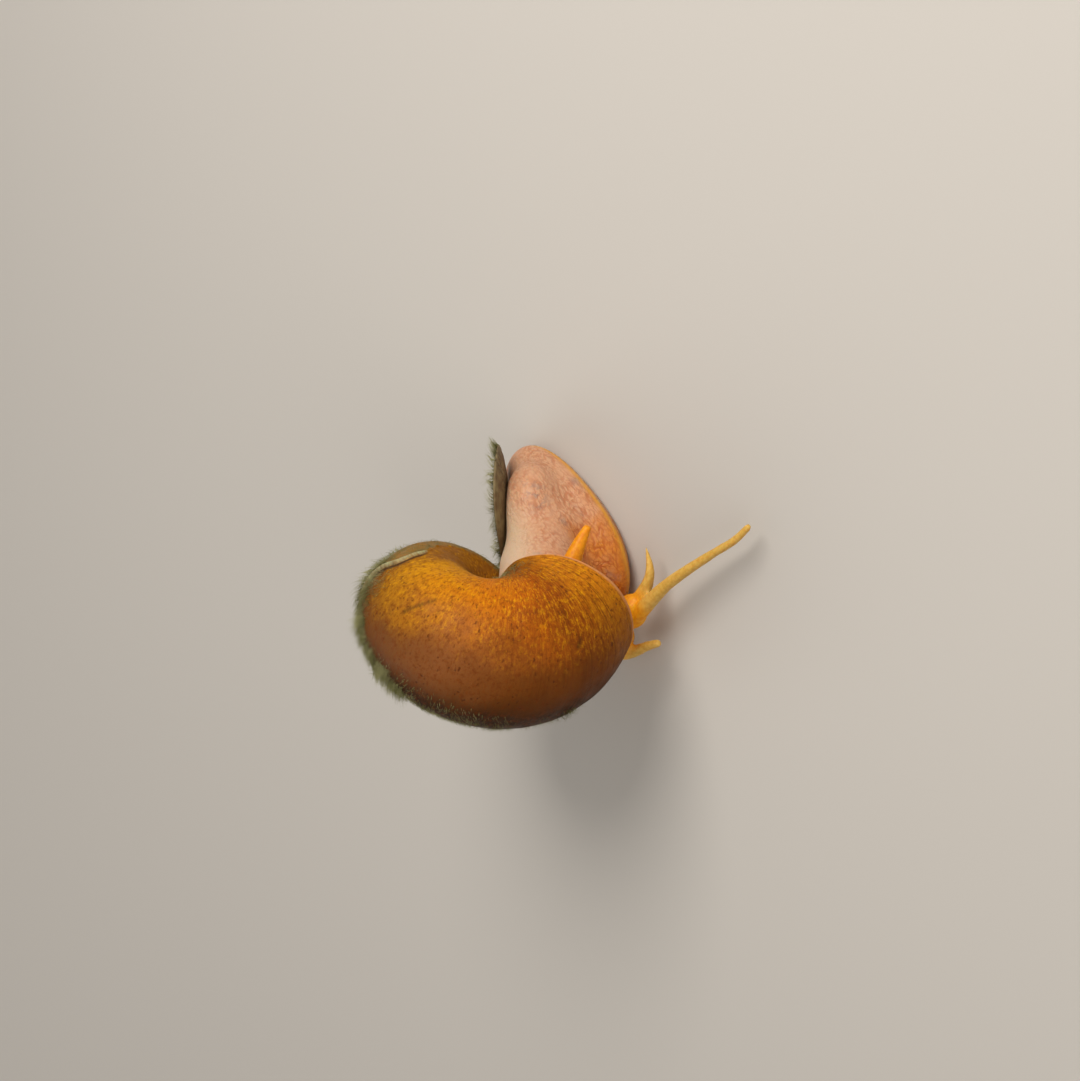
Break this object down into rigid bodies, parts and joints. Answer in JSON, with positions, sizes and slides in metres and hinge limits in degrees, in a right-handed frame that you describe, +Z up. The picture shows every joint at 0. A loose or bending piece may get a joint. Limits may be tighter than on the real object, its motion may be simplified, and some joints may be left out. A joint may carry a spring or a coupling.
{
  "type": "apple snail",
  "caption": "Still life-size model of a freshwater apple snail on its flat sole, shell tipped over the head, feelers out, horny door on the back of the foot.",
  "frame": {"origin": "on the floor, in the flat of the sole under the root of the stalk", "axes": "+Z up, -Y the way the snail faces, +X its left side"},
  "size_m": [0.0566, 0.0445, 0.0437],
  "materials": {
    "shell": "satin golden brown horn, with fine growth lines and thin green algae at its edges",
    "operculum": "matte dark brown horn with green algae",
    "flesh": "moist skin, orange at the head and whitish pink on the foot",
    "eye": "glossy black"
  },
  "bodies": {
    "root": {"shell": "shell", "operculum": "operculum", "foot": "flesh", "neck": "flesh", "mantle": "flesh", "head": "flesh", "siphon": "flesh", "nuchal_lobe_right": "flesh", "tentacle_left_1": "flesh", "tentacle_left_2": "flesh", "tentacle_left_3": "flesh", "tentacle_right_1": "flesh", "tentacle_right_2": "flesh", "tentacle_right_3": "flesh", "palp_left": "flesh", "palp_right": "flesh", "eyestalk_left": "flesh", "eyestalk_right": "flesh", "eye_left": "eye", "eye_right": "eye"}
  },
  "joints": []
}
